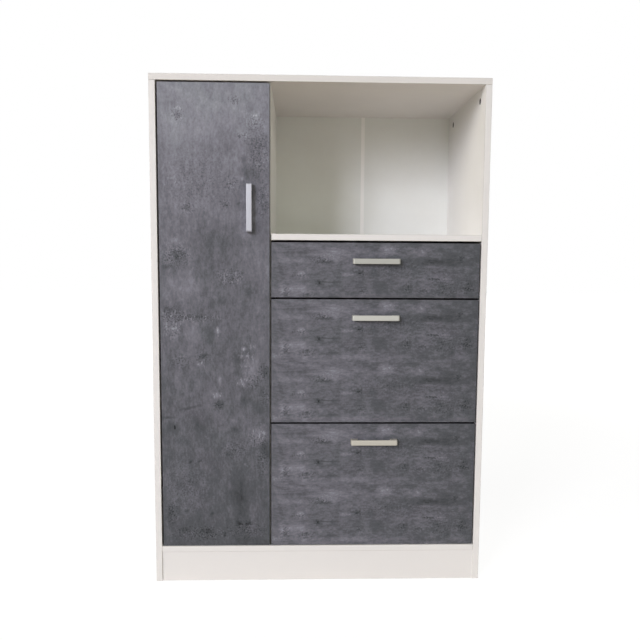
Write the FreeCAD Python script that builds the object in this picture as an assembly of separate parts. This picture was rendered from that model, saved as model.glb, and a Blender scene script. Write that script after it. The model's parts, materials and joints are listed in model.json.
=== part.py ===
import FreeCAD
import Part
import math
import os
from FreeCAD import Vector

# Kitchen cabinet: a white board carcass with a tall inset door at the left, an open niche at the
# upper right and three inset drawers below the niche.
# Millimetres. +Z is up and the front faces -Y. The origin is on the floor, at the middle of the
# whole object's footprint, handles included.

# Overall sizes
cabinet_width = 800.0
cabinet_height = 1220.0
board_depth = 380.0
board_thickness = 15.0
edge_radius = 0.8

# Layout of the front
plinth_height = 75.0  # floor to the underside of the bottom panel
plinth_recess = 2.0
niche_height = 350.0
drawer_bay_width = 504.0
top_front_height = 131.0
deep_front_difference = 5.0  # how much taller the lowest front is than the middle one
front_gap = 4.0
shelf_gap = 5.0  # between the niche shelf and the top drawer's front
bottom_gap = 1.5  # under the door and the lowest drawer's front
drawer_side_gap = 3.0
divider_setback = 1.3  # room between the door and the divider's front edge

# Rooms and cuts
play = 0.1  # round a fastener or beside a sheet in its groove
running_play = 0.05  # round a turning pin or axle
overrun = 1.0  # how far a cutting shape runs past the face
touch = 0.01  # what counts as lying on a face

# Back sheets, their joint strip and nails
sheet_thickness = 3.0
sheet_margin = 2.0
joint_strip_width = 10.0
joint_strip_wall = 1.0
nail_radius = 0.7
nail_length = 16.0
nail_head_radius = 2.2
nail_head_thickness = 0.8
nail_spacing = 170.0
nail_end_inset = 40.0
divider_nail_offset = 3.75  # both sheets that meet on the divider are nailed to it

# Cam fittings and dowels
cam_radius = 7.5
cam_depth_share = 0.75  # of the board that holds the cam
cam_sink = 0.4
cam_reach = 27.5  # cam centre to the joined board
cam_edge_inset = 50.0
cam_slot_width = 1.6
cam_slot_length = 9.0
cam_slot_depth = 2.0
bolt_radius = 3.0
bolt_head_radius = 3.4
bolt_head_length = 2.4
bolt_neck_radius = 2.2
bolt_neck_length = 3.0
bolt_thread_depth = 10.5
dowel_radius = 4.0
dowel_face_depth = 10.0
dowel_end_depth = 20.0
dowel_offset = 32.0
plinth_dowel_shares = (0.33, 0.67)  # of the plinth's height

# Screws
wood_screw_radius = 1.8
wood_screw_length = 11.5
wood_screw_head_radius = 3.4
wood_screw_head_height = 0.8
handle_screw_radius = 2.0
handle_screw_grip = 8.0  # length inside the handle's foot
handle_screw_head_radius = 4.0
handle_screw_head_height = 2.2
recess_length_share = 0.6  # of the head's radius
recess_width_share = 0.2
recess_depth_share = 0.6  # of the head's height

# Foot glides and door buffers
glide_radius = 6.5
glide_height = 1.2
glide_pin_radius = 1.2
glide_pin_length = 14.0
glide_inset = 30.0
buffer_radius = 4.0
buffer_thickness = 1.0
buffer_inset = 60.0

# Cupboard shelves
cupboard_shelf_setback = 46.0
cupboard_shelf_play = 1.0
shelf_pin_radius = 2.5
shelf_pin_depth = 8.0
shelf_pin_reach = 8.0
shelf_pin_inset = 55.0

# Handles
handle_length = 113.0
handle_hole_spacing = 96.0
handle_height = 12.8
handle_reach = 15.0
handle_bar_thickness = 5.0
handle_outer_radius = 4.0
handle_inner_radius = 2.5
handle_edge_radius = 1.0
drawer_handle_drop = 43.8  # front's top edge to the handle's middle
door_handle_inset = 47.7  # door's free edge to the handle's middle
door_handle_level = 914.3

# Door hinges: four-bar cup hinges, pins placed from the cup's centre on the door's rear face
hinge_end_inset = 100.0
cup_tab = 5.0  # door edge to the cup's rim
cup_radius = 17.5
cup_depth = 11.5
cup_wall = 1.0
cup_floor = 0.8
wing_half_width = 11.0
wing_clear = 8.0  # half of the free slot between the wings
wing_reach = 30.0
wing_thickness = 1.2
wing_screw_spacing = 48.0
hinge_pin_radius = 1.25
inner_cup_pin_across = -5.05
inner_cup_pin_depth = 7.75
outer_cup_pin_across = 0.75
outer_cup_pin_depth = 5.35
inner_arm_pin_across = 9.75
inner_arm_pin_depth = 3.55
outer_arm_pin_across = 20.1
outer_arm_pin_back = 11.2
link_half_width = 2.5
inner_link_half_height = 2.0
outer_link_half_height = 3.8
arm_half_height = 5.2
arm_half_width = 2.9
layer_gap = 0.3
open_eye_play = 0.95  # the inner link's eye on the arm takes up the linkage's slack
open_eye_wall = 0.8
outer_link_fork_share = 0.5  # of the outer link's length, from the cup end
arm_knee_across = -6.0
arm_knee_back = 9.0
arm_fork_radius = 6.0
plate_front = 50.0
plate_length = 34.0
plate_thickness = 2.0
plate_half_height = 25.0
plate_height = 9.0
plate_screw_spacing = 32.0

# Drawer boxes
drawer_board = 12.0
drawer_rear_room = 20.0  # box's rear to the back sheets
drawer_lift = 20.0  # front's lower edge to the box's lower edge
shallow_rim_drop = 21.0  # front's top edge to the box's rim
deep_rim_drop = 92.0
drawer_bottom_thickness = 3.0
groove_depth = 6.0
groove_height = 12.0
drawer_cam_height_shares = (0.32, 0.78)  # of the side's height
back_screw_height_shares = (0.42, 0.85)
bottom_screw_shares = (0.1, 0.5, 0.9)  # of the width inside the box

# Roller runners
runner_space = 12.5
runner_sheet = 1.2
rail_reach = 10.0
rail_front_inset = 20.0
rail_rear_room = 15.0  # rail's rear end to the back sheets
runner_front_play = 1.0
runner_rise = 1.0  # rail's top to the runner's flange
runner_wall_play = 2.0
roller_radius = 9.0
roller_width = 6.0
roller_offset = 3.2  # bay wall to the roller
roller_gap = 0.3
roller_inset = 12.0
roller_edge = 0.5
channel_gap = 2.0
axle_radius = 2.5
axle_side_play = 0.2
axle_head_radius = 3.6
axle_head_thickness = 0.6
rail_screw_shares = (0.2, 0.5, 0.82)  # of the rail's length
runner_screw_shares = (0.15, 0.8)  # of the drawer's depth

# Places worked out from the sizes
half_width = cabinet_width / 2
inner_half = half_width - board_thickness
overall_depth = handle_reach + board_depth + sheet_thickness + max(joint_strip_wall, nail_head_thickness)
front = handle_reach - overall_depth / 2
back = front + board_depth
fronts_rear = front + board_thickness
top_under = cabinet_height - board_thickness
floor_top = plinth_height + board_thickness
shelf_top = top_under - niche_height
shelf_under = shelf_top - board_thickness
divider_right = inner_half - drawer_bay_width
divider_left = divider_right - board_thickness
divider_centre = divider_right - board_thickness / 2
divider_front = fronts_rear + divider_setback
bay_centre = (divider_right + inner_half) / 2
door_left = front_gap - inner_half
door_right = divider_right - front_gap / 2
door_low = floor_top + bottom_gap
door_high = top_under - front_gap
deep_fronts_high = shelf_under - shelf_gap - top_front_height - front_gap
deep_fronts_height = deep_fronts_high - front_gap - door_low
middle_front_height = (deep_fronts_height - deep_front_difference) / 2
bottom_front_height = middle_front_height + deep_front_difference
drawer_depth = board_depth - board_thickness - drawer_rear_room
rail_length = board_depth - rail_front_inset - rail_rear_room
channel_height = 2 * (roller_radius + roller_gap + runner_sheet)
flange_rise = channel_height + runner_rise  # box's lower edge to the runner flange's underside
along_x = Vector(1, 0, 0)
along_y = Vector(0, 1, 0)
along_z = Vector(0, 0, 1)

pieces = {}
drillings = {}


# Shapes and holes
def add(node, *solids):
    pieces.setdefault(node, []).extend(solids)


def drill(node, *tools):
    drillings.setdefault(node, []).extend(tools)


def block(low, high):
    size = high - low
    return Part.makeBox(size.x, size.y, size.z, low)


def rod(start, direction, radius, length):
    return Part.makeCylinder(radius, length, start, direction)


def joined(shapes):
    return shapes[0].fuse(shapes[1:]).removeSplitter().Solids[0]


def turned(shape, place, direction):
    fitted = shape.copy()
    fitted.Placement = FreeCAD.Placement(place, FreeCAD.Rotation(along_z, direction))
    return fitted


def eased(board, edges=None):
    return board.makeFillet(edge_radius, edges or board.Edges)


def eased_front(board):
    limit = board.BoundBox.YMin + touch
    return eased(board, [edge for edge in board.Edges if edge.BoundBox.YMax < limit])


# Fasteners, each with the holes that it needs
def screw_body(radius, length, head_radius, head_height):
    head = rod(Vector(), along_z, head_radius, head_height)
    body = joined([head, rod(Vector(), -along_z, radius, length)])
    reach = head_radius * recess_length_share
    half = head_radius * recess_width_share / 2
    floor = head_height * (1 - recess_depth_share)
    top = head_height + overrun
    cross = [
        block(Vector(-reach, -half, floor), Vector(reach, half, top)),
        block(Vector(-half, -reach, floor), Vector(half, reach, top)),
    ]
    return body.cut(cross).Solids[0]


def drive(node, body, seat, direction, radius, length, boards):
    add(node, turned(body, seat, -direction))
    for board in boards:
        drill(board, rod(seat - direction * overrun, direction, radius + play, length + overrun + play))


wood_screw = screw_body(
    wood_screw_radius, wood_screw_length, wood_screw_head_radius, wood_screw_head_height
)
back_screw_length = drawer_board + wood_screw_length
back_screw = screw_body(
    wood_screw_radius, back_screw_length, wood_screw_head_radius, wood_screw_head_height
)
handle_screw_length = board_thickness + handle_screw_grip
handle_screw = screw_body(
    handle_screw_radius, handle_screw_length, handle_screw_head_radius, handle_screw_head_height
)


def drive_wood_screw(node, seat, direction, boards):
    drive(node, wood_screw, seat, direction, wood_screw_radius, wood_screw_length, boards)


def cam_joint(cam_node, bolt_node, cam_board, other_board, face, normal, pull, thickness):
    depth = thickness * cam_depth_share
    centre = face - normal * (thickness / 2)
    cam = rod(face - normal * depth, normal, cam_radius - play, depth - cam_sink)
    slot = block(
        Vector(-cam_slot_length / 2, -cam_slot_width / 2, -cam_sink - cam_slot_depth),
        Vector(cam_slot_length / 2, cam_slot_width / 2, overrun),
    )
    mouth = rod(centre, pull, bolt_head_radius + play, cam_radius + overrun)
    add(cam_node, cam.cut([turned(slot, face, normal), mouth]).Solids[0])
    neck = centre + pull * bolt_head_length
    shank = neck + pull * bolt_neck_length
    joint = centre + pull * cam_reach
    shank_length = cam_reach - bolt_head_length - bolt_neck_length + bolt_thread_depth
    bolt = [
        rod(centre, pull, bolt_head_radius, bolt_head_length),
        rod(neck, pull, bolt_neck_radius, bolt_neck_length),
        rod(shank, pull, bolt_radius, shank_length),
    ]
    add(bolt_node, joined(bolt))
    bore = rod(centre, pull, bolt_head_radius + play, cam_reach + overrun)
    drill(cam_board, rod(face - normal * depth, normal, cam_radius, depth + overrun), bore)
    thread_room = bolt_thread_depth + overrun + play
    drill(other_board, rod(joint - pull * overrun, pull, bolt_radius + play, thread_room))


def dowel(face_board, end_board, seat, into_end):
    length = dowel_face_depth + dowel_end_depth
    start = seat - into_end * dowel_face_depth
    add("wooden_dowels", rod(start, into_end, dowel_radius, length))
    hole = rod(start - into_end * play, into_end, dowel_radius + play, length + 2 * play)
    drill(face_board, hole)
    drill(end_board, hole)


# A front and a rear cam, each with a dowel beside it, pull a board's end against another board
def cam_row(cam_board, other_board, face_x, face_z, normal, pull):
    for y, inward in ((front + cam_edge_inset, along_y), (back - cam_edge_inset, -along_y)):
        face = Vector(face_x, y, face_z)
        cam_joint("cam_locks", "cam_bolts", cam_board, other_board, face, normal, pull, board_thickness)
        seat = face - normal * (board_thickness / 2) + pull * cam_reach + inward * dowel_offset
        dowel(other_board, cam_board, seat, -pull)


# Carcass boards
def carcass_boards():
    side = block(Vector(-half_width, front, glide_height), Vector(-inner_half, back, top_under))
    add("left_side_panel", eased_front(side))
    add("right_side_panel", eased_front(side).mirror(Vector(), along_x))
    top = block(Vector(-half_width, front, top_under), Vector(half_width, back, cabinet_height))
    add("top_panel", eased(top))
    bottom = block(Vector(-inner_half, front, plinth_height), Vector(inner_half, back, floor_top))
    add("bottom_panel", eased_front(bottom))
    divider = block(Vector(divider_left, divider_front, floor_top), Vector(divider_right, back, top_under))
    add("centre_divider", divider)
    shelf = block(Vector(divider_right, front, shelf_under), Vector(inner_half, back, shelf_top))
    add("niche_shelf", eased_front(shelf.cut(block(
        Vector(divider_right - overrun, front - overrun, shelf_under - overrun),
        Vector(divider_right + front_gap / 2, divider_front, shelf_top + overrun),
    ))))
    plinth_front = front + plinth_recess
    add("plinth_board", block(
        Vector(-inner_half, plinth_front, glide_height),
        Vector(inner_half, plinth_front + board_thickness, plinth_height),
    ))


def carcass_joints():
    for side, panel in ((-1, "left_side_panel"), (1, "right_side_panel")):
        outward = along_x * side
        cam_row(panel, "top_panel", side * inner_half, top_under - cam_reach, -outward, along_z)
        cam_row("bottom_panel", panel, side * (inner_half - cam_reach), plinth_height, -along_z, outward)
        plinth_middle = front + plinth_recess + board_thickness / 2
        for share in plinth_dowel_shares:
            seat = Vector(side * inner_half, plinth_middle, plinth_height * share)
            dowel(panel, "plinth_board", seat, -outward)
    cam_row("centre_divider", "top_panel", divider_left, top_under - cam_reach, -along_x, along_z)
    cam_row("centre_divider", "bottom_panel", divider_left, floor_top + cam_reach, -along_x, -along_z)
    cam_row("niche_shelf", "centre_divider", divider_right + cam_reach, shelf_under, -along_z, -along_x)
    cam_row("niche_shelf", "right_side_panel", inner_half - cam_reach, shelf_under, -along_z, along_x)


def foot_glides():
    for side, panel in ((-1, "left_side_panel"), (1, "right_side_panel")):
        for y in (front + glide_inset, back - glide_inset):
            foot = Vector(side * (half_width - board_thickness / 2), y, 0)
            seat = foot + along_z * glide_height
            add("foot_glides", joined([
                rod(foot, along_z, glide_radius, glide_height),
                rod(seat, along_z, glide_pin_radius, glide_pin_length),
            ]))
            drill(panel, rod(seat - along_z * overrun, along_z, glide_pin_radius + play,
                             glide_pin_length + overrun + play))


# Back: three sheets nailed to the boards, with an open joint on the divider and a strip in the drawer bay
sheet_low = plinth_height + sheet_margin
sheet_high = cabinet_height - sheet_margin
sheet_end = half_width - sheet_margin
strip_room = joint_strip_wall / 2 + play
sheet_spans = {
    "back_sheet_left": (-sheet_end, divider_centre - play),
    "back_sheet_middle": (divider_centre + play, bay_centre - strip_room),
    "back_sheet_right": (bay_centre + strip_room, sheet_end),
}


def back_sheets():
    for node, (left, right) in sheet_spans.items():
        add(node, block(Vector(left, back, sheet_low), Vector(right, back + sheet_thickness, sheet_high)))


def back_joint_strip():
    half = joint_strip_width / 2
    face = back - joint_strip_wall
    rear = back + sheet_thickness
    web_half = joint_strip_wall / 2

    def upright(reach, near, far):
        return block(Vector(bay_centre - reach, near, sheet_low), Vector(bay_centre + reach, far, sheet_high))

    strip = joined([
        upright(half, face, back),
        upright(web_half, back, rear),
        upright(half, rear, rear + joint_strip_wall),
    ])
    boards = ((plinth_height, floor_top), (shelf_under, shelf_top), (top_under, cabinet_height))
    notches = [
        block(Vector(bay_centre - half - overrun, face - overrun, low - play),
              Vector(bay_centre + half + overrun, back, high + play))
        for low, high in boards
    ]
    add("back_joint_strip", strip.cut(notches).Solids[0])


def nail_row(board, start, end):
    line = end - start
    count = max(2, round(line.Length / nail_spacing) + 1)
    nail = joined([
        rod(Vector(), along_z, nail_head_radius, nail_head_thickness),
        rod(Vector(), -along_z, nail_radius, nail_length),
    ])
    for step in range(count):
        seat = start + line * (step / (count - 1))
        sheet = next(name for name, (left, right) in sheet_spans.items() if left < seat.x < right)
        drive("back_nails", nail, seat, -along_y, nail_radius, nail_length, (board, sheet))


def back_nails():
    rear = back + sheet_thickness
    half_board = board_thickness / 2
    low = floor_top + nail_end_inset
    high = top_under - nail_end_inset
    rows = (
        ("left_side_panel", half_board - half_width),
        ("right_side_panel", half_width - half_board),
        ("centre_divider", divider_centre - divider_nail_offset),
        ("centre_divider", divider_centre + divider_nail_offset),
    )
    for board, x in rows:
        nail_row(board, Vector(x, rear, low), Vector(x, rear, high))
    cupboard_span = (nail_end_inset - half_width, divider_left - nail_end_inset)
    bay_spans = (
        (divider_right + nail_end_inset, bay_centre - nail_end_inset),
        (bay_centre + nail_end_inset, half_width - nail_end_inset),
    )
    levels = (
        ("top_panel", top_under + half_board, (cupboard_span, *bay_spans)),
        ("bottom_panel", plinth_height + half_board, (cupboard_span, *bay_spans)),
        ("niche_shelf", shelf_under + half_board, bay_spans),
    )
    for board, level, spans in levels:
        for left, right in spans:
            nail_row(board, Vector(left, rear, level), Vector(right, rear, level))


# Two loose shelves on pins behind the door
def cupboard_shelves():
    names = ("lower_cupboard_shelf", "upper_cupboard_shelf")
    walls = (("left_side_panel", -inner_half, along_x), ("centre_divider", divider_left, -along_x))
    bay_height = top_under - floor_top
    shelf_front = front + cupboard_shelf_setback
    shelf_back = back - cupboard_shelf_play
    length = shelf_pin_depth + shelf_pin_reach
    for step, node in enumerate(names, start=1):
        level = floor_top + bay_height * step / (len(names) + 1)
        low = Vector(cupboard_shelf_play - inner_half, shelf_front, level)
        high = Vector(divider_left - cupboard_shelf_play, shelf_back, level + board_thickness)
        add(node, eased_front(block(low, high)))
        for y in (shelf_front + shelf_pin_inset, back - shelf_pin_inset):
            for board, x, inward in walls:
                start = Vector(x, y, level - shelf_pin_radius) - inward * shelf_pin_depth
                add("shelf_pins", rod(start, inward, shelf_pin_radius, length))
                drill(board, rod(start - inward * play, inward, shelf_pin_radius + play, length))


# Bow handle, foot side at y = 0 and its length along X
def handle_body():
    half = handle_length / 2
    leg = handle_length - handle_hole_spacing
    rise = handle_height / 2
    gap = handle_reach - handle_bar_thickness

    def rounded(shape, radius, limit):
        nearest = [edge for edge in shape.Edges if edge.BoundBox.YMax < limit]
        return shape.makeFillet(radius, [edge for edge in nearest if edge.BoundBox.XLength < touch])

    outer = block(Vector(-half, -handle_reach, -rise), Vector(half, 0, rise))
    outer = rounded(outer, handle_outer_radius, touch - handle_reach)
    inner = block(Vector(leg - half, -gap, -rise - overrun), Vector(half - leg, overrun, rise + overrun))
    inner = rounded(inner, handle_inner_radius, touch - gap)
    bow = outer.cut(inner).Solids[0]
    level = [edge for edge in bow.Edges if edge.BoundBox.ZLength < touch]
    return bow.makeFillet(handle_edge_radius, [edge for edge in level if edge.BoundBox.YMin < -touch])


def fit_handle(node, screw_node, panel, centre, spread):
    bow = handle_body()
    bow.Placement = FreeCAD.Placement(centre, FreeCAD.Rotation(along_x, spread))
    holes = []
    for side in (-1, 1):
        seat = centre + along_y * board_thickness + spread * (side * handle_hole_spacing / 2)
        drive(screw_node, handle_screw, seat, -along_y, handle_screw_radius, handle_screw_length, (panel,))
        holes.append(rod(seat, -along_y, handle_screw_radius + play, handle_screw_length + play))
    add(node, bow.cut(holes).Solids[0])


# Door and its hinges
def door():
    panel = block(Vector(door_left, front, door_low), Vector(door_right, fronts_rear, door_high))
    add("door_panel", eased(panel))
    centre = Vector(door_right - door_handle_inset, front, door_handle_level)
    fit_handle("door_handle", "door_screws", "door_panel", centre, along_z)
    door_middle = (door_low + door_high) / 2
    for level in (door_low + hinge_end_inset, door_middle, door_high - hinge_end_inset):
        hinge(Vector(door_left + cup_tab + cup_radius, fronts_rear, level))
    for level in (door_low + buffer_inset, door_high - buffer_inset):
        seat = Vector(divider_centre, divider_front, level)
        add("door_buffers", rod(seat, -along_y, buffer_radius, buffer_thickness))


# A flat bar with round ends between two pins, level half_height each way
def bar(first, second, half_width_of_bar, half_height):
    run = second - first
    lift = along_z * half_height
    box = Part.makeBox(run.Length, 2 * half_width_of_bar, 2 * half_height,
                       Vector(0, -half_width_of_bar, -half_height))
    box.Placement = FreeCAD.Placement(first, FreeCAD.Rotation(along_x, run))
    ends = [rod(point - lift, along_z, half_width_of_bar, 2 * half_height) for point in (first, second)]
    return joined([box] + ends)


def hinge(centre):
    cup_inner = centre + Vector(inner_cup_pin_across, -inner_cup_pin_depth, 0)
    cup_outer = centre + Vector(outer_cup_pin_across, -outer_cup_pin_depth, 0)
    arm_inner = centre + Vector(inner_arm_pin_across, -inner_arm_pin_depth, 0)
    arm_outer = centre + Vector(outer_arm_pin_across, outer_arm_pin_back, 0)
    hinge_cup(centre, cup_inner, cup_outer)
    inner_link(cup_inner, arm_inner)
    outer_link(cup_outer, arm_outer)
    hinge_arm(arm_inner, arm_outer)


def pin(place, half_length, radius):
    return rod(place - along_z * half_length, along_z, radius, 2 * half_length)


def cup_pin_reach(centre, place):
    return math.sqrt((cup_radius - play - cup_wall / 2) ** 2 - (place.x - centre.x) ** 2)


# The inner link's pin runs right across the cup; the outer link's prongs turn on two stub pins
def hinge_cup(centre, inner_pin, outer_pin):
    wing_face = centre + along_y * wing_thickness
    wings = block(centre - Vector(wing_half_width, 0, wing_reach),
                  wing_face + Vector(wing_half_width, 0, wing_reach))
    slot = block(centre - Vector(wing_half_width + overrun, 0, wing_clear),
                 wing_face + Vector(wing_half_width + overrun, overrun, wing_clear))
    shell = joined([rod(centre, -along_y, cup_radius - play, cup_depth), wings.cut(slot)])
    hollow = rod(centre + along_y * (wing_thickness + overrun), -along_y, cup_radius - cup_wall,
                 wing_thickness + overrun + cup_depth - cup_floor)
    inner_reach = cup_pin_reach(centre, inner_pin)
    outer_reach = cup_pin_reach(centre, outer_pin)
    long_pin = pin(inner_pin, inner_reach, hinge_pin_radius)
    sockets = [long_pin, pin(outer_pin, outer_reach, hinge_pin_radius)]
    add("hinge_cups", shell.cut([hollow] + sockets).Solids[0], long_pin)
    stub_start = inner_link_half_height + layer_gap
    stub_length = outer_reach - stub_start
    for direction in (along_z, -along_z):
        add("hinge_cups", rod(outer_pin + direction * stub_start, direction, hinge_pin_radius, stub_length))
    drill("door_panel", rod(centre + along_y * overrun, -along_y, cup_radius, cup_depth + overrun))
    for side in (-1, 1):
        seat = wing_face + along_z * (side * wing_screw_spacing / 2)
        drive_wood_screw("door_screws", seat, -along_y, ("hinge_cups", "door_panel"))


def inner_link(cup_pin, arm_pin):
    eye_radius = hinge_pin_radius + open_eye_play
    eye = pin(arm_pin, inner_link_half_height, eye_radius + open_eye_wall)
    link = joined([bar(cup_pin, arm_pin, link_half_width, inner_link_half_height), eye])
    holes = [
        pin(cup_pin, inner_link_half_height + overrun, hinge_pin_radius + running_play),
        pin(arm_pin, inner_link_half_height + overrun, eye_radius),
    ]
    add("hinge_inner_links", link.cut(holes).Solids[0])


def outer_link(cup_pin, arm_pin):
    link = bar(cup_pin, arm_pin, link_half_width, outer_link_half_height)
    run = arm_pin - cup_pin
    fork_end = cup_pin + run * outer_link_fork_share
    beyond = cup_pin - run * outer_link_fork_share
    fork = bar(beyond, fork_end, link_half_width + overrun, inner_link_half_height + layer_gap)
    holes = [
        pin(place, outer_link_half_height + overrun, hinge_pin_radius + running_play)
        for place in (cup_pin, arm_pin)
    ]
    add("hinge_outer_links", link.cut([fork] + holes).Solids[0])


def hinge_arm(inner_pin, outer_pin):
    wall = -inner_half
    knee = outer_pin + Vector(arm_knee_across, arm_knee_back, 0)
    seat = Vector(wall + plate_height + arm_half_width, front + plate_front, outer_pin.z)
    tail = seat + along_y * plate_length
    stops = (inner_pin, outer_pin, knee, seat)
    bars = [bar(start, end, arm_half_width, arm_half_height) for start, end in zip(stops, stops[1:])]
    section = Vector(arm_half_width, 0, arm_half_height)
    fork_half = outer_link_half_height + layer_gap
    fork = bar(inner_pin, outer_pin, arm_half_width + overrun, fork_half)
    pocket = pin(outer_pin, fork_half, arm_fork_radius)
    pins = [pin(place, arm_half_height, hinge_pin_radius) for place in (inner_pin, outer_pin)]
    arm = joined(bars + [block(seat - section, tail + section)])
    add("hinge_arms", arm.cut([fork, pocket] + pins).Solids[0], *pins)
    foot = Vector(wall, seat.y, outer_pin.z)
    base_far = foot + Vector(plate_thickness, plate_length, plate_half_height)
    boss_far = foot + Vector(plate_height, plate_length, arm_half_height)
    base = block(foot - along_z * plate_half_height, base_far)
    add("hinge_plates", joined([base, block(foot - along_z * arm_half_height, boss_far)]))
    middle = foot + along_y * (plate_length / 2)
    for side in (-1, 1):
        screw_seat = middle + Vector(plate_thickness, 0, side * plate_screw_spacing / 2)
        drive_wood_screw("carcass_screws", screw_seat, -along_x, ("hinge_plates", "left_side_panel"))
    clamp_seat = middle + along_x * (plate_height + 2 * arm_half_width)
    drive_wood_screw("carcass_screws", clamp_seat, -along_x, ("hinge_arms", "hinge_plates"))


# A block in the drawer bay, between two distances from the bay's left (-1) or right (1) wall
def bay_x(side, distance):
    return divider_right + distance if side < 0 else inner_half - distance


def bay_block(side, near, far, y_low, y_high, z_low, z_high):
    left, right = sorted((bay_x(side, near), bay_x(side, far)))
    return block(Vector(left, y_low, z_low), Vector(right, y_high, z_high))


bay_walls = ((-1, "centre_divider"), (1, "right_side_panel"))
rail_front = front + rail_front_inset
runner_front = fronts_rear + runner_front_play
drawer_rear = fronts_rear + drawer_depth
cabinet_axle_y = rail_front + roller_inset
drawer_axle_y = drawer_rear - roller_inset


def axle(start, direction, length):
    return [rod(start, direction, axle_radius, length),
            rod(start + direction * length, direction, axle_head_radius, axle_head_thickness)]


def roller(side, y, z):
    start = Vector(bay_x(side, roller_offset), y, z)
    inward = -along_x * side
    wheel = rod(start, inward, roller_radius, roller_width)
    wheel = wheel.makeChamfer(roller_edge, [edge for edge in wheel.Edges if edge.Closed])
    return wheel.cut(rod(start - inward * overrun, inward, axle_radius + running_play,
                         roller_width + 2 * overrun)).Solids[0]


def cabinet_rails(name, low):
    channel_front = cabinet_axle_y + roller_radius + channel_gap
    rail_end = rail_front + rail_length
    top = low + channel_height
    axle_level = low + flange_rise - roller_gap - roller_radius
    for side, wall in bay_walls:
        inward = -along_x * side
        web_face = Vector(bay_x(side, runner_sheet), cabinet_axle_y, axle_level)
        sheets = [
            bay_block(side, 0, runner_sheet, rail_front, rail_end, low, top),
            bay_block(side, 0, rail_reach, channel_front, rail_end, low, low + runner_sheet),
            bay_block(side, 0, rail_reach, channel_front, rail_end, top - runner_sheet, top),
        ]
        reach = roller_offset + roller_width + axle_side_play - runner_sheet
        add("cabinet_rails", joined(sheets + axle(web_face, inward, reach)))
        add(name + "_drawer_cabinet_rollers", roller(side, cabinet_axle_y, axle_level))
        for share in rail_screw_shares:
            seat = Vector(bay_x(side, runner_sheet), rail_front + rail_length * share, (low + top) / 2)
            drive_wood_screw("carcass_screws", seat, -inward, ("cabinet_rails", wall))


def drawer_runners(name, low):
    web_near = runner_space - runner_sheet
    side_far = runner_space + drawer_board
    under = low - runner_sheet
    flange_top = low + flange_rise + runner_sheet
    axle_level = low + runner_sheet + roller_gap + roller_radius
    runners = name + "_drawer_runners"
    for side, label in ((-1, "left"), (1, "right")):
        outward = along_x * side
        sheets = [
            bay_block(side, web_near, runner_space, runner_front, drawer_rear, under, flange_top),
            bay_block(side, web_near, side_far, runner_front, drawer_rear, under, low),
            bay_block(side, runner_wall_play, runner_space, runner_front, drawer_rear,
                      flange_top - runner_sheet, flange_top),
        ]
        start = Vector(bay_x(side, web_near), drawer_axle_y, axle_level)
        add(runners, joined(sheets + axle(start, outward, web_near - roller_offset + axle_side_play)))
        add(name + "_drawer_rear_rollers", roller(side, drawer_axle_y, axle_level))
        screw_x = bay_x(side, side_far - drawer_board / 2)
        for share in runner_screw_shares:
            seat = Vector(screw_x, fronts_rear + drawer_depth * share, under)
            board = "%s_drawer_%s_side" % (name, label)
            drive_wood_screw(name + "_drawer_fasteners", seat, along_z, (runners, board))


def drawer_box(name, low, side_height):
    fasteners = name + "_drawer_fasteners"
    front_node = name + "_drawer_front"
    back_node = name + "_drawer_back"
    inner_near = runner_space + drawer_board
    rim = low + side_height
    back_middle = drawer_rear - drawer_board / 2
    bottom_low = low + groove_height
    bottom_high = bottom_low + drawer_bottom_thickness
    sheet_near = inner_near - groove_depth + play
    sheet = block(Vector(bay_x(-1, sheet_near), fronts_rear - groove_depth + play, bottom_low),
                  Vector(bay_x(1, sheet_near), drawer_rear, bottom_high))
    add(name + "_drawer_bottom", sheet)
    groove = block(Vector(bay_x(-1, sheet_near - play), fronts_rear - groove_depth, bottom_low - play),
                   Vector(bay_x(1, sheet_near - play), drawer_rear + overrun, bottom_high + play))
    drill(front_node, groove)
    back_front = drawer_rear - drawer_board
    add(back_node, block(Vector(bay_x(-1, inner_near), back_front, bottom_high),
                         Vector(bay_x(1, inner_near), drawer_rear, rim)))
    for side, label in ((-1, "left"), (1, "right")):
        side_node = "%s_drawer_%s_side" % (name, label)
        inward = -along_x * side
        add(side_node, bay_block(side, runner_space, inner_near, fronts_rear, drawer_rear, low, rim))
        drill(side_node, groove)
        for share in drawer_cam_height_shares:
            face = Vector(bay_x(side, inner_near), fronts_rear + cam_reach, low + side_height * share)
            cam_joint(fasteners, fasteners, side_node, front_node, face, inward, -along_y, drawer_board)
        for share in back_screw_height_shares:
            seat = Vector(bay_x(side, runner_space), back_middle, low + side_height * share)
            drive(fasteners, back_screw, seat, inward, wood_screw_radius, back_screw_length,
                  (side_node, back_node))
    inner_left = bay_x(-1, inner_near)
    inner_width = bay_x(1, inner_near) - inner_left
    for share in bottom_screw_shares:
        seat = Vector(inner_left + inner_width * share, back_middle, bottom_low)
        drive_wood_screw(fasteners, seat, along_z, (name + "_drawer_bottom", back_node))


def drawer(name, front_low, front_height, rim_drop):
    front_node = name + "_drawer_front"
    add(front_node, eased(block(
        Vector(divider_right + front_gap / 2, front, front_low),
        Vector(inner_half - drawer_side_gap, fronts_rear, front_low + front_height),
    )))
    centre = Vector(bay_centre, front, front_low + front_height - drawer_handle_drop)
    fit_handle(name + "_drawer_handle", name + "_drawer_fasteners", front_node, centre, along_x)
    low = front_low + drawer_lift
    drawer_box(name, low, front_height - drawer_lift - rim_drop)
    drawer_runners(name, low)
    cabinet_rails(name, low)


def drawers():
    front_low = door_low
    stack = (
        ("bottom", bottom_front_height, deep_rim_drop),
        ("middle", middle_front_height, deep_rim_drop),
        ("top", top_front_height, shallow_rim_drop),
    )
    for name, front_height, rim_drop in stack:
        drawer(name, front_low, front_height, rim_drop)
        front_low += front_height + front_gap


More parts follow.
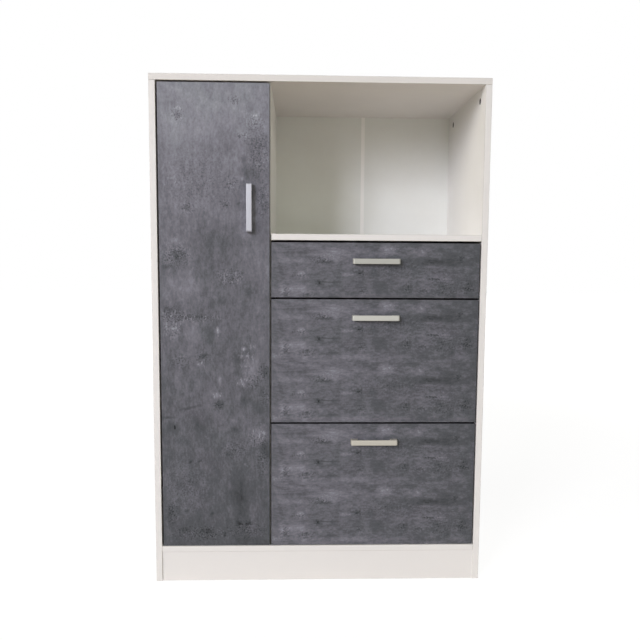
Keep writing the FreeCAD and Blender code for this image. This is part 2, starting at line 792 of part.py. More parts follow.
def export():
    os.makedirs("parts", exist_ok=True)
    for node, solids in pieces.items():
        tools = drillings.get(node, [])
        finished = []
        for solid in solids:
            near = [tool for tool in tools if tool.BoundBox.intersect(solid.BoundBox)]
            finished.extend(solid.cut(near).Solids if near else [solid])
        shape = finished[0] if len(finished) == 1 else Part.makeCompound(finished)
        shape.exportStep("parts/%s.step" % node)
        print(node, len(finished), "solids", round(shape.Volume), "mm3")


carcass_boards()
carcass_joints()
foot_glides()
back_sheets()
back_joint_strip()
back_nails()
cupboard_shelves()
door()
drawers()
export()
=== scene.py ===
import json
import math

import bpy
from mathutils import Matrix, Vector


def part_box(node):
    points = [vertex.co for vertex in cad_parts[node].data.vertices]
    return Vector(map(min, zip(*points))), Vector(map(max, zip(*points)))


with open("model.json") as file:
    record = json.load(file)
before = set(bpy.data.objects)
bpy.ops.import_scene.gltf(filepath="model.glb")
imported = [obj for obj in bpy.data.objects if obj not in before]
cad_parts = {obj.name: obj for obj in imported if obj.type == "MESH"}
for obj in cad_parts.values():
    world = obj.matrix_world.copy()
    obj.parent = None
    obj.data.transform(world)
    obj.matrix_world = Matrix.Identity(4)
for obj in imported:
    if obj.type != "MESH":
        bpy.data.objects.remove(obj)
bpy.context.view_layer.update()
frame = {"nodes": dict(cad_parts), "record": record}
nodes = frame["nodes"]
scene = bpy.context.scene
scene.view_settings.view_transform = "Standard"
mm = 0.001
white = (1.0, 1.0, 1.0, 1.0)
noiseSpan = (0.3, 0.7)  # most values of a noise pattern lie between these
noiseMiddle = 0.5
print("frame loaded:", len(nodes), "nodes")


# Small helpers for node trees
def paint(red, green, blue):  # a colour as seen on screen, 0 to 255, made linear
    values = [c / 255 for c in (red, green, blue)]
    linear = [v / 12.92 if v <= 0.04045 else ((v + 0.055) / 1.055) ** 2.4 for v in values]
    return (*linear, 1.0)


def emptyTree(owner):
    owner.use_nodes = True
    owner.node_tree.nodes.clear()
    return owner.node_tree


def put(tree, kind, inputs=(), **settings):  # one node with its settings and sockets
    made = tree.nodes.new("ShaderNode" + kind)
    for name, value in settings.items():
        setattr(made, name, value)
    for key, value in dict(inputs).items():
        if isinstance(value, bpy.types.NodeSocket):
            tree.links.new(value, made.inputs[key])
        else:
            made.inputs[key].default_value = value
    return made


def startMaterial(name, **sockets):  # a fresh material with one principled shader
    material = bpy.data.materials.new(name)
    tree = emptyTree(material)
    shader = put(tree, "BsdfPrincipled", sockets)
    put(tree, "OutputMaterial", {"Surface": shader.outputs[0]})
    return material, tree, shader


def objectPlace(tree):
    return put(tree, "TexCoord").outputs["Object"]


def facingAlong(tree, axis):  # how far the surface faces along an axis of its node, -1 to 1
    normal = put(tree, "TexCoord").outputs["Normal"]
    return put(tree, "SeparateXYZ", {0: normal}).outputs[axis]


def noise(tree, place, scale, detail=3.0, roughness=0.55, output=0):
    sockets = {"Vector": place, "Scale": scale, "Detail": detail, "Roughness": roughness}
    return put(tree, "TexNoise", sockets).outputs[output]


def stretched(tree, place, scale):  # the same place, scaled unevenly for drawn-out grain
    return put(tree, "Mapping", {"Vector": place, "Scale": scale}).outputs[0]


def spread(tree, value, span, result=(0.0, 1.0)):  # a soft step from one level to another
    sockets = {0: value, 1: span[0], 2: span[1], 3: result[0], 4: result[1]}
    return put(tree, "MapRange", sockets, interpolation_type="SMOOTHSTEP").outputs[0]


def maths(tree, operation, *terms):
    return put(tree, "Math", dict(enumerate(terms)), operation=operation).outputs[0]


def mixColour(tree, share, first, second, blend="MIX"):
    sockets = {0: share, 6: first, 7: second}  # 6 and 7 are the node's colour sockets
    return put(tree, "Mix", sockets, data_type="RGBA", blend_type=blend).outputs[2]


def ramp(tree, value, stops):
    made = put(tree, "ValToRGB", {0: value})
    elements = made.color_ramp.elements
    for index, (where, colour) in enumerate(stops):
        element = elements[index] if index < 2 else elements.new(where)  # a new ramp has two
        element.position = where
        element.color = colour
    return made.outputs[0]


def bump(tree, shader, height, strength, distance):
    made = put(tree, "Bump", {"Height": height, "Strength": strength, "Distance": distance})
    tree.links.new(made.outputs[0], shader.inputs["Normal"])


def lay(tree, shader, colour, roughness):
    tree.links.new(colour, shader.inputs["Base Color"])
    tree.links.new(roughness, shader.inputs["Roughness"])


def seenDirectly(tree):  # 1 for the rays that show the surroundings themselves
    path = put(tree, "LightPath")
    seen = maths(tree, "MAXIMUM", path.outputs["Is Camera Ray"], path.outputs["Is Glossy Ray"])
    return maths(tree, "MAXIMUM", seen, path.outputs["Is Transmission Ray"])


# Camera, at the place found from the cabinet's edges
viewSet = {
    "place": (-0.0497, -1.7556, 0.7958),
    "tilt": (84.71, -0.38, -1.76),  # degrees
    "lens": 37.02,
    "sensor": 36.0,
    "farthest": 60.0,
}


def addCamera(s):
    data = bpy.data.cameras.new("viewCamera")
    data.lens = s["lens"]
    data.sensor_width = s["sensor"]
    data.clip_end = s["farthest"]
    camera = bpy.data.objects.new("viewCamera", data)
    camera.location = s["place"]
    camera.rotation_euler = [math.radians(a) for a in s["tilt"]]
    scene.collection.objects.link(camera)
    scene.camera = camera


# Light: a soft lamp from the front left, a weaker warm one from the left, small ones above the camera
# and from the right. The two on the left have a grid and point low, so the base is lit as well as the top.
# One behind on the right lights the back, the top and the right side.
lightSet = {
    "aim": (0.13, -0.18, 0.95),
    "distance": 12.0,
    "lamps": [  # name, degrees left and up, width, height, power, colour, spread, drop of the aim
        ("frontLamp", 33.6, 16.6, 3.6, 4.6, 96.6, (1.0, 1.0, 1.13), 60.0, 1.7),
        ("sideLamp", 62.0, 20.5, 5.6, 3.4, 74.0, (1.0, 0.965, 0.85), 60.0, 1.6),
        ("upperLamp", 0.0, 30.0, 4.1, 2.1, 60.0, (1.0, 1.06, 0.92), 180.0, 0.0),
        ("rightLamp", -40.0, 14.0, 3.4, 3.4, 84.0, (1.0, 1.03, 0.85), 180.0, 0.0),
        ("rearLamp", -140.0, 18.0, 4.0, 4.0, 550.0, (1.0, 0.99, 0.97), 180.0, 0.0),
    ],
    "roomColour": (1.0, 0.98, 0.86, 1.0),
    "roomStrength": 0.165,
}


def addRoom(s):
    world = bpy.data.worlds.new("room")
    scene.world = world
    tree = emptyTree(world)
    fill = put(tree, "Background", {"Color": s["roomColour"], "Strength": s["roomStrength"]})
    plain = put(tree, "Background", {"Color": white, "Strength": 1.0})
    both = put(tree, "MixShader", {0: seenDirectly(tree), 1: fill.outputs[0], 2: plain.outputs[0]})
    put(tree, "OutputWorld", {"Surface": both.outputs[0]})


def addLamps(s):
    aim = Vector(s["aim"])
    for name, left, up, wide, tall, power, colour, spreadAngle, drop in s["lamps"]:
        data = bpy.data.lights.new(name, "AREA")
        data.shape = "RECTANGLE"
        data.size, data.size_y = wide, tall
        data.energy = power
        data.color = colour
        data.spread = math.radians(spreadAngle)
        lamp = bpy.data.objects.new(name, data)
        turn, rise = math.radians(left), math.radians(up)
        level = math.cos(rise)
        away = Vector((-math.sin(turn) * level, -math.cos(turn) * level, math.sin(rise)))
        lamp.location = aim + away * s["distance"]
        facing = aim - Vector((0, 0, drop)) - lamp.location
        lamp.rotation_euler = facing.to_track_quat("-Z", "Y").to_euler()
        scene.collection.objects.link(lamp)


# Floor: a pale sheet that looks white and still takes the cabinet's shadow
floorSet = {
    "half": 14.0,
    "colour": (0.73, 0.66, 0.555, 1.0),  # what it throws back on the cabinet
    "shade": (0.22, 0.22, 0.22, 1.0),  # how strongly shadows show on it
    "glowLevels": (0.88, 1.0),  # under the lamps, and where they no longer reach
    "glowSpan": (1.6, 4.5),  # distances between which the glow rises
}


def addFloor(s):
    half = s["half"]
    mesh = bpy.data.meshes.new("floorSheet")
    corners = [(-half, -half, 0), (half, -half, 0), (half, half, 0), (-half, half, 0)]
    mesh.from_pydata(corners, [], [(0, 1, 2, 3)])
    floor = bpy.data.objects.new("floorSheet", mesh)
    scene.collection.objects.link(floor)
    material = bpy.data.materials.new("paleFloor")
    tree = emptyTree(material)
    plain = put(tree, "BsdfDiffuse", {"Color": s["colour"]})
    shade = put(tree, "BsdfDiffuse", {"Color": s["shade"]})
    away = put(tree, "VectorMath", {0: objectPlace(tree)}, operation="LENGTH").outputs["Value"]
    level = spread(tree, away, s["glowSpan"], s["glowLevels"])
    glow = put(tree, "Emission", {"Color": white, "Strength": level})
    bright = put(tree, "AddShader", {0: shade.outputs[0], 1: glow.outputs[0]})
    both = put(tree, "MixShader", {0: seenDirectly(tree), 1: plain.outputs[0], 2: bright.outputs[0]})
    put(tree, "OutputMaterial", {"Surface": both.outputs[0]})
    mesh.materials.append(material)


addCamera(viewSet)
addRoom(lightSet)
addLamps(lightSet)
addFloor(floorSet)
print("camera, lamps and floor placed")


# White boards: melamine film with a fine pearl and a faint cloud, edge bands on the front faces, and raw
# chipboard on the rear ends
boardSet = {
    "film": paint(237, 235, 232),
    "filmShade": paint(234, 232, 228),
    "band": paint(230, 228, 227),
    "arrisShade": paint(190, 186, 182),  # painted shade on the band's rounded corner, darker than the band, which draws the joints as dark lines
    "chip": paint(196, 164, 122),
    "chipDark": paint(132, 98, 62),
    "specular": 0.28,
    "roughness": (0.41, 0.53),
    "rawRoughness": 0.35,  # added on raw chipboard
    "pearl": (950.0, 2.0),  # scale and detail of the noise
    "cloud": (7.0, 5.0),
    "cloudSpan": (0.35, 0.7),
    "chipScale": 420.0,
    "chipFine": 840.0,
    "chipSpan": (0.05, 0.4),
    "chipRelief": 6.0,
    "rawSpan": (0.8, 0.9),  # spans of how far a face turns to the rear
    "bandSpan": (-0.9, -0.6),
    "arrisStart": (-0.99, -0.9),
    "arrisEnd": (-0.3, -0.1),
    "bump": (0.06, 0.0004),  # strength and distance
}
paintedShadeTopBoardSet = {  # painted shade: the top panel's film and band are a little darker than the other boards', so its front edge and its underside over the niche look shaded
    **boardSet,
    "film": paint(228, 223, 219),
    "filmShade": paint(225, 220, 216),
    "band": paint(225, 222, 220),
}


def whiteBoard(name, s):
    material, tree, shader = startMaterial(name, **{"Specular IOR Level": s["specular"]})
    place = objectPlace(tree)
    rearward = facingAlong(tree, "Y")
    cloud = spread(tree, noise(tree, place, *s["cloud"]), s["cloudSpan"])
    film = mixColour(tree, cloud, s["film"], s["filmShade"])
    banded = spread(tree, rearward, s["bandSpan"], (1.0, 0.0))
    arrisStart = spread(tree, rearward, s["arrisStart"])
    arrisEnd = spread(tree, rearward, s["arrisEnd"], (1.0, 0.0))
    # painted shade: the rounded corner between a front face and the sides takes the darker tone
    rounded = maths(tree, "MULTIPLY", arrisStart, arrisEnd)
    front = mixColour(tree, rounded, mixColour(tree, banded, film, s["band"]), s["arrisShade"])
    chips = put(tree, "TexVoronoi", {"Vector": place, "Scale": s["chipScale"]}).outputs["Distance"]
    chipTone = maths(tree, "MULTIPLY", chips, noise(tree, place, s["chipFine"]))
    chip = mixColour(tree, spread(tree, chipTone, s["chipSpan"]), s["chip"], s["chipDark"])
    raw = spread(tree, rearward, s["rawSpan"])
    pearl = noise(tree, place, *s["pearl"])
    dull = spread(tree, pearl, noiseSpan, s["roughness"])
    rough = maths(tree, "MULTIPLY_ADD", raw, s["rawRoughness"], dull)
    lay(tree, shader, mixColour(tree, raw, front, chip), rough)
    relief = maths(tree, "MULTIPLY_ADD", maths(tree, "MULTIPLY", raw, chipTone), s["chipRelief"], pearl)
    bump(tree, shader, relief, *s["bump"])
    return material


# Hardboard sheets: white film on the inner face, brown fibre on the other
sheetSet = {
    "film": paint(235, 236, 231),
    "filmShade": paint(230, 230, 224),
    "fibre": paint(146, 104, 66),
    "fibreDark": paint(104, 70, 42),
    "specular": 0.25,
    "roughness": (0.44, 0.58),
    "bareRoughness": 0.25,  # added on bare fibre
    "fine": (340.0, 5.0, 0.7),  # scale, detail and roughness of the noise
    "broad": (14.0, 4.0),
    "broadShare": 0.5,
    "fibreSpan": (0.5, 1.0),
    "filmSpan": (0.3, 0.75),
    "shadeLevels": (0.0, 0.5),
    "bareSpan": (-0.2, 0.2),
    "bump": (0.08, 0.0004),
}


def hardboard(name, s, bareAxis, bareSign):  # the axis and direction that the bare face looks along
    material, tree, shader = startMaterial(name, **{"Specular IOR Level": s["specular"]})
    place = objectPlace(tree)
    fine = noise(tree, place, *s["fine"])
    broad = noise(tree, place, *s["broad"])
    tone = maths(tree, "MULTIPLY_ADD", broad, s["broadShare"], fine)
    fibre = mixColour(tree, spread(tree, tone, s["fibreSpan"]), s["fibre"], s["fibreDark"])
    turned = maths(tree, "MULTIPLY", facingAlong(tree, bareAxis), bareSign)
    bare = spread(tree, turned, s["bareSpan"])
    shade = spread(tree, broad, s["filmSpan"], s["shadeLevels"])
    film = mixColour(tree, shade, s["film"], s["filmShade"])
    dull = spread(tree, fine, noiseSpan, s["roughness"])
    rough = maths(tree, "MULTIPLY_ADD", bare, s["bareRoughness"], dull)
    lay(tree, shader, mixColour(tree, bare, film, fibre), rough)
    bump(tree, shader, fine, *s["bump"])
    return material


# Dark concrete print. Blotches, specks and flecks are (across, down, half width, half height, turn, amount),
# in millimetres and degrees from the front's upper left corner; blotch amounts are screen tones, 1 is white.
printSet = {
    "greys": [(0.12, paint(31, 31, 31)), (0.33, paint(84, 84, 84)), (0.42, paint(107, 107, 107)),
              (0.55, paint(140, 140, 140)), (0.76, paint(194, 194, 194))],
    "tints": [(0.3, (0.95, 1.0, 1.125, 1)), (0.4, (0.995, 0.985, 1.16, 1)),
              (0.47, (0.995, 0.985, 1.16, 1)), (0.56, (0.965, 1.0, 1.13, 1))],  # greener at both ends
    "tint": (16.0, 2.0),  # scale and detail of the noise
    "tintSwing": 0.16,
    "through": 1000.0,  # flattens the pattern, so that it runs through the board
    "warpScale": 60.0,
    "warp": (0.009, 0.009, 0.009),
    "layers": [(18.0, 0.045, 3.0), (62.0, 0.065, 5.0), (190.0, 0.052, 4.0)],  # scale, swing, detail
    "layerSpan": (0.25, 0.75),
    "grainRoughness": 0.6,
    "speckScale": 240.0,
    "speckSpan": (0.53, 0.63),
    "speckDepth": -0.16,
    "paleSpan": (0.36, 0.46),  # pale specks, from the low end of the same noise
    "paleRise": 0.07,
    "speckEverywhere": 0.12,
    "fleckScale": 180.0,
    "fleckSpan": (0.52, 0.64),
    "fleckRise": 0.16,
    "fleckEverywhere": 0.06,
    "edge": paint(52, 53, 57),  # the dark band on the narrow sides
    "edgeSpan": (0.2, 0.6),
    "specular": 0.22,
    "roughness": (0.44, 0.58),
    "speckRelief": -1.5,
    "bump": (0.06, 0.0004),
}
doorPrint = {
    "fade": [(0.0, 0.522), (0.05, 0.512), (0.13, 0.464), (0.21, 0.437), (0.3, 0.413), (0.4, 0.402),
             (0.7, 0.368), (0.94, 0.33), (1.0, 0.304)],
    "fadeDown": True,
    "grain": (1.0, 1.0, 0.5),
    "swing": 0.68,  # strength of the even grain
    "repeat": 0.0,
    "blotches": [
        (225, 225, 60, 110, 0, -0.05), (135, 410, 75, 100, 0, -0.055), (150, 600, 90, 90, 0, -0.03),
        (135, 960, 60, 100, 0, -0.03), (60, 180, 80, 90, 0, 0.025), (95, 110, 90, 60, 0, 0.03),
        (40, 100, 30, 50, 0, 0.05), (46, 77, 9, 10, 0, -0.12), (178, 40, 14, 11, 0, -0.09),
        (223, 73, 16, 9, 0, 0.05), (234, 135, 30, 40, 0, -0.08), (190, 122, 5, 4, 0, -0.15),
        (160, 142, 8, 26, 0, -0.05), (202, 174, 9, 12, 0, -0.09), (215, 202, 38, 20, 0, -0.06),
        (196, 220, 5, 6, 0, 0.13), (156, 279, 12, 10, 0, -0.10), (188, 277, 8, 4, -15, -0.11),
        (67, 288, 12, 10, 0, -0.09), (243, 280, 18, 36, 0, -0.04), (134, 345, 55, 55, 0, -0.04),
        (40, 400, 34, 26, 0, -0.08), (15, 425, 18, 8, -15, -0.10), (38, 365, 30, 16, 0, 0.05),
        (52, 475, 62, 46, 0, 0.08), (215, 485, 17, 18, 0, -0.08), (135, 508, 40, 14, -25, -0.07),
        (19, 527, 16, 13, 0, -0.10), (75, 546, 85, 8, 0, -0.07), (252, 455, 9, 60, 0, 0.05),
        (28, 572, 24, 30, 0, 0.09), (77, 581, 26, 34, 0, 0.07), (115, 589, 22, 30, 0, -0.08),
        (137, 579, 9, 8, 0, 0.12), (198, 621, 9, 8, 0, 0.16), (181, 650, 11, 36, 0, -0.08),
        (212, 672, 26, 48, 0, 0.10), (193, 704, 14, 12, 0, 0.10), (246, 673, 16, 20, 0, -0.10),
        (98, 640, 20, 9, -10, -0.11), (96, 658, 13, 8, 0, 0.08), (140, 696, 7, 16, 0, 0.12),
        (134, 735, 13, 10, 0, 0.11), (138, 758, 14, 13, 0, -0.13), (200, 747, 16, 18, 0, -0.10),
        (238, 766, 26, 26, 0, -0.08), (69, 765, 34, 5, -14, -0.11), (15, 789, 24, 4, 0, -0.10),
        (31, 814, 3, 6, 0, -0.45), (20, 815, 26, 16, 0, -0.06), (90, 812, 38, 34, 0, -0.05),
        (176, 796, 13, 6, 0, 0.07), (173, 817, 12, 10, 0, -0.10), (232, 832, 32, 32, 0, 0.10),
        (250, 868, 17, 24, 0, -0.10), (69, 898, 9, 4, -35, -0.16), (91, 896, 9, 4, -35, -0.16),
        (158, 877, 9, 9, 0, -0.10), (67, 944, 4, 9, 10, -0.13), (188, 985, 26, 95, 0, -0.13),
        (78, 998, 52, 52, 0, 0.05), (119, 1029, 6, 6, 0, -0.12), (58, 1021, 8, 5, 0, -0.11),
        (18, 1030, 12, 30, 0, -0.09), (185, 1054, 9, 8, 0, -0.17), (208, 1054, 9, 8, 0, -0.17),
        (150, 1081, 7, 9, 0, -0.14), (50, 1070, 24, 10, 0, -0.10), (105, 1073, 26, 6, 0, -0.10),
        (215, 1098, 45, 16, 0, -0.06),
    ],
    "specks": [
        (46, 74, 20, 24, 0, 1.6), (178, 40, 18, 15, 0, 1.4), (200, 122, 22, 14, 0, 1.2),
        (236, 160, 34, 70, 0, 1.2), (225, 90, 30, 24, 0, 1.2), (172, 230, 24, 24, 0, 1.2),
        (156, 279, 16, 14, 0, 1.6), (67, 288, 20, 18, 0, 1.4), (244, 270, 20, 60, 0, 1.2),
        (40, 402, 42, 32, 0, 1.7), (168, 448, 42, 24, 0, 1.5), (26, 540, 36, 24, 0, 1.6),
        (75, 547, 90, 12, 0, 1.5), (28, 572, 26, 30, 0, 1.2), (98, 642, 24, 16, 0, 1.4),
        (46, 650, 34, 26, 0, 0.8), (222, 700, 22, 24, 0, 1.4), (246, 676, 18, 26, 0, 1.6),
        (138, 758, 16, 16, 0, 1.4), (250, 740, 16, 26, 0, 1.4), (232, 846, 36, 24, 0, 1.2),
        (242, 900, 22, 40, 0, 1.5), (180, 870, 40, 30, 0, 1.0), (20, 1030, 20, 40, 0, 1.3),
        (90, 1078, 90, 26, 0, 1.4), (205, 1070, 60, 30, 0, 1.1), (90, 220, 90, 90, 0, 0.5),
        (60, 960, 70, 90, 0, 0.5),
    ],
    "flecks": [
        (46, 60, 26, 30, 0, 0.4), (223, 76, 24, 18, 0, 0.9), (238, 186, 18, 14, 0, 1.0),
        (30, 225, 34, 24, 0, 0.6), (40, 380, 40, 34, 0, 0.8), (168, 448, 42, 24, 0, 1.2),
        (40, 545, 50, 20, 0, 1.1), (28, 572, 26, 30, 0, 1.5), (110, 546, 60, 10, 0, 1.1),
        (137, 581, 12, 18, 0, 1.4), (205, 640, 34, 50, 0, 1.0), (195, 704, 22, 16, 0, 1.5),
        (97, 658, 16, 10, 0, 1.2), (134, 735, 18, 12, 0, 1.3), (232, 832, 36, 34, 0, 1.2),
        (200, 908, 14, 16, 0, 0.8), (80, 1080, 26, 14, 0, 0.9), (244, 270, 20, 50, 0, 0.6),
    ],
}
drawerPrint = {
    "fade": [(0.0, 0.394), (0.3, 0.38), (0.5, 0.366), (0.7, 0.346), (0.93, 0.336), (1.0, 0.314)],
    "fadeDown": False,
    "grain": (0.5, 1.0, 1.0),
    "swing": 0.8,
    "repeat": 0.152,  # the print starts again after this length
    "blotches": [
        (145, 28, 48, 16, -8, 0.10), (160, 40, 28, 7, 0, 0.08), (116, 39, 10, 5, 20, -0.10),
        (125, 46, 30, 5, 0, -0.10), (70, 73, 14, 6, 0, 0.12), (182, 74, 22, 8, 0, 0.08),
        (211, 70, 9, 6, 0, -0.10), (114, 97, 7, 9, 0, -0.11), (134, 93, 46, 3, 0, -0.10),
        (46, 112, 62, 15, 0, 0.10), (34, 120, 8, 14, 0, -0.09), (86, 128, 6, 15, 0, -0.11),
        (138, 131, 46, 5, 0, -0.07), (218, 114, 10, 4, 45, -0.13), (258, 104, 26, 24, 10, -0.07),
        (327, 109, 14, 12, 0, -0.06), (400, 44, 112, 13, 0, -0.13), (455, 36, 9, 10, 0, -0.10),
        (474, 109, 16, 26, 0, -0.07), (282, 16, 34, 14, 5, 0.10), (355, 18, 40, 13, 0, 0.05),
        (392, 86, 18, 3, 0, -0.09), (364, 114, 7, 4, 0, -0.11), (430, 110, 4, 12, 0, -0.08),
        (20, 60, 40, 12, 0, -0.05), (60, 45, 50, 10, 0, 0.03), (330, 75, 60, 18, 0, 0.04),
        (420, 82, 60, 16, 0, 0.04), (300, 138, 60, 9, 0, 0.04), (210, 140, 60, 8, 0, 0.04),
    ],
    "specks": [
        (34, 118, 16, 20, 0, 1.0), (218, 113, 16, 14, 0, 1.1), (327, 108, 20, 18, 0, 0.9),
        (455, 36, 14, 14, 0, 0.8), (474, 108, 18, 30, 0, 1.0), (114, 97, 14, 12, 0, 0.9),
        (215, 71, 24, 9, 0, 1.0), (366, 114, 20, 8, 0, 0.8), (392, 86, 26, 7, 0, 1.2),
        (120, 42, 34, 10, 0, 1.2), (70, 78, 30, 8, 0, 1.2), (90, 130, 30, 16, 0, 0.9),
        (420, 110, 50, 30, 0, 0.7), (300, 60, 120, 30, 0, 0.4),
    ],
    "flecks": [
        (70, 73, 18, 8, 0, 1.0), (148, 28, 46, 16, 0, 0.7), (182, 75, 26, 9, 0, 0.9),
        (282, 16, 36, 14, 0, 0.8), (40, 116, 46, 18, 0, 0.6), (355, 18, 42, 13, 0, 0.6),
        (20, 135, 26, 10, 0, 1.0), (420, 80, 60, 20, 0, 0.5),
    ],
}


def spotSum(tree, place, spots, start):  # adds soft spots, each of which falls to zero at its rim
    total = start
    for across, down, reach, drop, turn, amount in spots:
        sockets = {
            "Vector": place,
            "Location": (across * mm, 0, down * mm),
            "Rotation": (0, math.radians(-turn), 0),
            "Scale": (reach * mm, 1, drop * mm),
        }
        spot = put(tree, "Mapping", sockets, vector_type="TEXTURE").outputs[0]
        fall = put(tree, "TexGradient", {"Vector": spot}, gradient_type="SPHERICAL").outputs["Fac"]
        total = maths(tree, "MULTIPLY_ADD", fall, amount, total)
    return total


def spotMask(tree, pattern, span, result, zone):  # a pattern's peaks or dips, only inside a zone
    return maths(tree, "MULTIPLY", spread(tree, pattern, span, result), zone)


def concreteFront(name, node, s, p):
    low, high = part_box(node)
    size = high - low
    material, tree, shader = startMaterial(name, **{"Specular IOR Level": s["specular"]})
    corner = {"Vector": objectPlace(tree), "Location": (low.x, 0, high.z), "Scale": (1, s["through"], -1)}
    flat = put(tree, "Mapping", corner, vector_type="TEXTURE").outputs[0]
    parts = put(tree, "SeparateXYZ", {0: flat})
    down = parts.outputs["Z"]
    if p["repeat"]:
        down = maths(tree, "FLOORED_MODULO", down, p["repeat"])
    tile = put(tree, "CombineXYZ", {"X": parts.outputs["X"], "Z": down}).outputs[0]
    wander = noise(tree, tile, s["warpScale"], output="Color")
    shift = put(tree, "VectorMath", {0: wander, 1: (-noiseMiddle,) * 3}, operation="ADD").outputs[0]
    warped = put(tree, "VectorMath", {0: shift, 1: s["warp"], 2: tile}, operation="MULTIPLY_ADD").outputs[0]
    along, length = (parts.outputs["Z"], size.z) if p["fadeDown"] else (parts.outputs["X"], size.x)
    stops = [(where, (level, level, level, 1)) for where, level in p["fade"]]
    tone = ramp(tree, maths(tree, "DIVIDE", along, length), stops)
    tone = spotSum(tree, warped, p["blotches"], tone)
    drawn = stretched(tree, tile, p["grain"])
    for scale, fullSwing, detail in s["layers"]:
        swing = fullSwing * p["swing"]
        layer = noise(tree, drawn, scale, detail, s["grainRoughness"])
        tone = maths(tree, "ADD", tone, spread(tree, layer, s["layerSpan"], (-swing, swing)))
    dots = noise(tree, tile, s["speckScale"])
    dotZone = maths(tree, "MINIMUM", spotSum(tree, warped, p["specks"], s["speckEverywhere"]), 1.0)
    dotMask = spotMask(tree, dots, s["speckSpan"], (0.0, 1.0), dotZone)
    tone = maths(tree, "MULTIPLY_ADD", dotMask, s["speckDepth"], tone)
    paleMask = spotMask(tree, dots, s["paleSpan"], (1.0, 0.0), dotZone)
    tone = maths(tree, "MULTIPLY_ADD", paleMask, s["paleRise"], tone)
    chalk = noise(tree, drawn, s["fleckScale"], roughness=s["grainRoughness"])
    chalkZone = maths(tree, "MINIMUM", spotSum(tree, warped, p["flecks"], s["fleckEverywhere"]), 1.0)
    chalkMask = spotMask(tree, chalk, s["fleckSpan"], (0.0, 1.0), chalkZone)
    tone = maths(tree, "MULTIPLY_ADD", chalkMask, s["fleckRise"], tone)
    centred = maths(tree, "SUBTRACT", tone, s["tintSwing"] * noiseMiddle)
    tintTone = maths(tree, "MULTIPLY_ADD", noise(tree, flat, *s["tint"]), s["tintSwing"], centred)
    tint = ramp(tree, tintTone, s["tints"])
    colour = mixColour(tree, 1.0, ramp(tree, tone, s["greys"]), tint, "MULTIPLY")
    frontal = maths(tree, "ABSOLUTE", facingAlong(tree, "Y"))
    narrow = spread(tree, frontal, s["edgeSpan"], (1.0, 0.0))
    toned = mixColour(tree, narrow, colour, s["edge"])
    lay(tree, shader, toned, spread(tree, chalk, noiseSpan, s["roughness"]))
    bump(tree, shader, maths(tree, "MULTIPLY_ADD", dotMask, s["speckRelief"], dots), *s["bump"])
    return material


# Handles: satin metal, drawn along the bar, each in a colour of its own that paints the light and shade it
# has where it hangs
satinSet = {
    # painted light and shade: one satin metal in four tones, lighter lower down and bluer on the door
    "top": paint(164, 163, 156),
    "middle": paint(182, 181, 174),
    "bottom": paint(188, 183, 172),
    "door": paint(169, 169, 175),
    "alongX": (0.02, 1, 1),
    "alongZ": (1, 1, 0.02),
    "metallic": 0.7,
    "anisotropic": 0.35,
    "lines": (900.0, 4.0, 0.65),  # scale, detail and roughness of the noise
    "lineShade": 0.86,
    "lineLevels": (0.0, 0.6),
    "haze": 60.0,
    "hazeRoughness": 0.12,
    "roughness": (0.38, 0.5),
    "bump": (0.05, 0.0002),
}


def satinMetal(name, colour, drawn, s):
    material, tree, shader = startMaterial(name, Metallic=s["metallic"], Anisotropic=s["anisotropic"])
    place = objectPlace(tree)
    lines = noise(tree, stretched(tree, place, drawn), *s["lines"])
    shade = [c * s["lineShade"] for c in colour[:3]] + [1.0]
    toned = mixColour(tree, spread(tree, lines, noiseSpan, s["lineLevels"]), colour, shade)
    dull = spread(tree, lines, noiseSpan, s["roughness"])
    rough = maths(tree, "MULTIPLY_ADD", noise(tree, place, s["haze"]), s["hazeRoughness"], dull)
    lay(tree, shader, toned, rough)
    bump(tree, shader, lines, *s["bump"])
    return material


# Plated and cast zinc: colour, shade, roughness and scale of the crystals
plateSet = {
    "zincSteel": (paint(196, 198, 200), paint(164, 163, 156), (0.28, 0.44), 260.0),
    "castZinc": (paint(66, 60, 53), paint(36, 32, 28), (0.49, 0.65), 600.0),
    "fineRatio": 4,
    "crystalSpan": (0.2, 0.8),
    "bump": (0.06, 0.0002),
}


def plateMetal(name, s):
    colour, shade, roughness, scale = s[name]
    material, tree, shader = startMaterial(name, Metallic=1.0)
    place = objectPlace(tree)
    flower = put(tree, "TexVoronoi", {"Vector": place, "Scale": scale}).outputs["Color"]
    fine = noise(tree, place, scale * s["fineRatio"])
    toned = mixColour(tree, spread(tree, flower, s["crystalSpan"]), colour, shade)
    lay(tree, shader, toned, spread(tree, fine, noiseSpan, roughness))
    bump(tree, shader, fine, *s["bump"])
    return material


# Powder coat, plastics and rubber: colour, shade, roughness and scale of the grain
mouldSet = {
    "whiteSteel": (paint(228, 226, 221), paint(221, 219, 213), (0.33, 0.46), 700.0),
    "whitePlastic": (paint(232, 229, 222), paint(224, 220, 212), (0.37, 0.5), 800.0),
    "greyPlastic": (paint(128, 128, 130), paint(112, 112, 114), (0.45, 0.58), 900.0),
    "clearRubber": (paint(222, 222, 218), paint(210, 210, 205), (0.35, 0.48), 600.0),
    "jointStrip": (paint(251, 250, 246), paint(246, 244, 240), (0.35, 0.48), 800.0),
    "broadRatio": 20,
    "bump": (0.1, 0.0003),
}


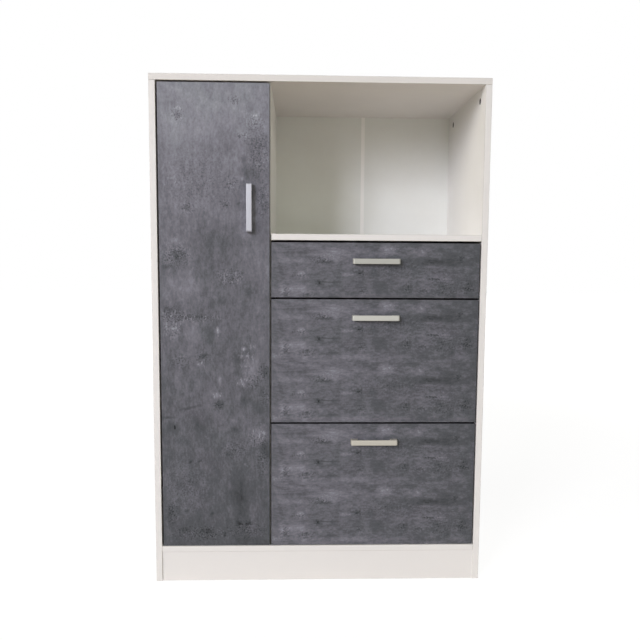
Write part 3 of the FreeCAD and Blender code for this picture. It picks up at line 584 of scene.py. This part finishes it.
def mouldedFinish(name, s):
    colour, shade, roughness, scale = s[name]
    material, tree, shader = startMaterial(name)
    place = objectPlace(tree)
    skin = noise(tree, place, scale)
    toned = mixColour(tree, noise(tree, place, scale / s["broadRatio"]), colour, shade)
    lay(tree, shader, toned, spread(tree, skin, noiseSpan, roughness))
    bump(tree, shader, skin, *s["bump"])
    return material


# Birch for the dowels
birchSet = {
    "pale": paint(214, 182, 138),
    "dark": paint(176, 138, 92),
    "grain": (1, 1, 0.1),
    "lines": (500.0, 4.0),
    "roughness": 0.6,
    "bump": (0.15, 0.0003),
}


def birchWood(name, s):
    material, tree, shader = startMaterial(name, Roughness=s["roughness"])
    lines = noise(tree, stretched(tree, objectPlace(tree), s["grain"]), *s["lines"])
    tree.links.new(mixColour(tree, lines, s["pale"], s["dark"]), shader.inputs["Base Color"])
    bump(tree, shader, lines, *s["bump"])
    return material


finishes = {
    "white_board": whiteBoard("whiteBoard", boardSet),
    "white_hardboard": hardboard("whiteHardboard", sheetSet, "Y", 1.0),
    "zinc_steel": plateMetal("zincSteel", plateSet),
    "cast_zinc": plateMetal("castZinc", plateSet),
    "white_steel": mouldedFinish("whiteSteel", mouldSet),
    "white_plastic": mouldedFinish("whitePlastic", mouldSet),
    "grey_plastic": mouldedFinish("greyPlastic", mouldSet),
    "clear_rubber": mouldedFinish("clearRubber", mouldSet),
    "birch_dowel": birchWood("birchDowel", birchSet),
}
special = {  # nodes with a finish of their own
    # the top panel takes the darker film, which paints shade on its front edge and underside
    "top_panel": whiteBoard("paintedShadeTopBoard", paintedShadeTopBoardSet),
    "door_panel": concreteFront("concreteDoor", "door_panel", printSet, doorPrint),
    "door_handle": satinMetal("shadedSatinDoorBar", satinSet["door"], satinSet["alongZ"], satinSet),
    "back_joint_strip": mouldedFinish("jointStrip", mouldSet),
}
for level in ("top", "middle", "bottom"):
    frontName = level + "_drawer_front"
    special[frontName] = concreteFront(level + "ConcreteFront", frontName, printSet, drawerPrint)
    special[level + "_drawer_bottom"] = hardboard(level + "DrawerSheet", sheetSet, "Z", -1.0)
    # each drawer handle takes its level's tone of painted light and shade
    bar = satinMetal(level + "ShadedSatinBar", satinSet[level], satinSet["alongX"], satinSet)
    special[level + "_drawer_handle"] = bar
for entry in frame["record"]["subparts"]:
    material = special.get(entry["node"]) or finishes[entry["material_slot"]]
    piece = nodes[entry["node"]]
    piece.data.materials.clear()
    piece.data.materials.append(material)
print("finishes laid on", len(nodes), "nodes")
